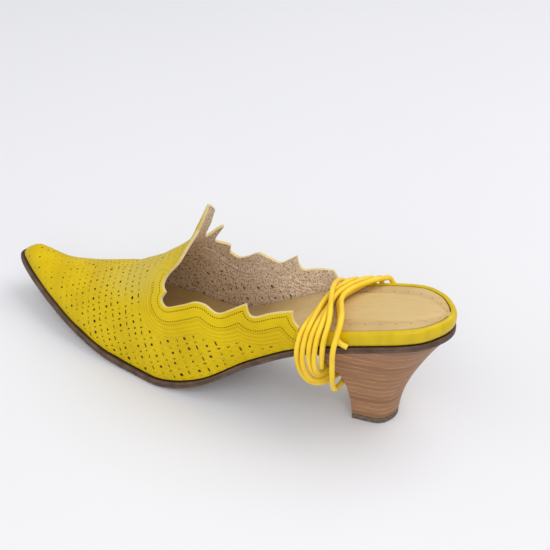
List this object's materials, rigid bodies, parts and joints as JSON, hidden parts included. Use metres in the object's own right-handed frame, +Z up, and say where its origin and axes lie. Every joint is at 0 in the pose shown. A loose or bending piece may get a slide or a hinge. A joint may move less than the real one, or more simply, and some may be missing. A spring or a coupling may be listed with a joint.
{
  "type": "heeled mule",
  "caption": "Left heeled leather mule: pointed toe, spiked crown over the instep, scalloped toplines, footbed, rand, outsole, stacked heel and a cord wound round the waist.",
  "frame": {"origin": "on the floor under the middle of the heel's foot, where the top piece rests", "axes": "+X from the toe to the back of the heel, -Y to the outer side of this left shoe, +Z up"},
  "size_m": [0.2737, 0.0802, 0.0987],
  "materials": {
    "upper_leather": "perforated and embossed, semi-matt, faded over the instep",
    "rand_leather": "glossy",
    "footbed_leather": "smooth, matt, lightly creased",
    "outsole_leather": "waxed edge",
    "heel_stack": "stacked layers, satin",
    "top_piece_rubber": "matt",
    "tie_leather": "round cord, semi-gloss"
  },
  "bodies": {
    "root": {"upper": "upper_leather", "heel_rand": "rand_leather", "footbed": "footbed_leather", "outsole": "outsole_leather", "heel": "heel_stack", "top_piece": "top_piece_rubber", "tie": "tie_leather"}
  },
  "joints": []
}
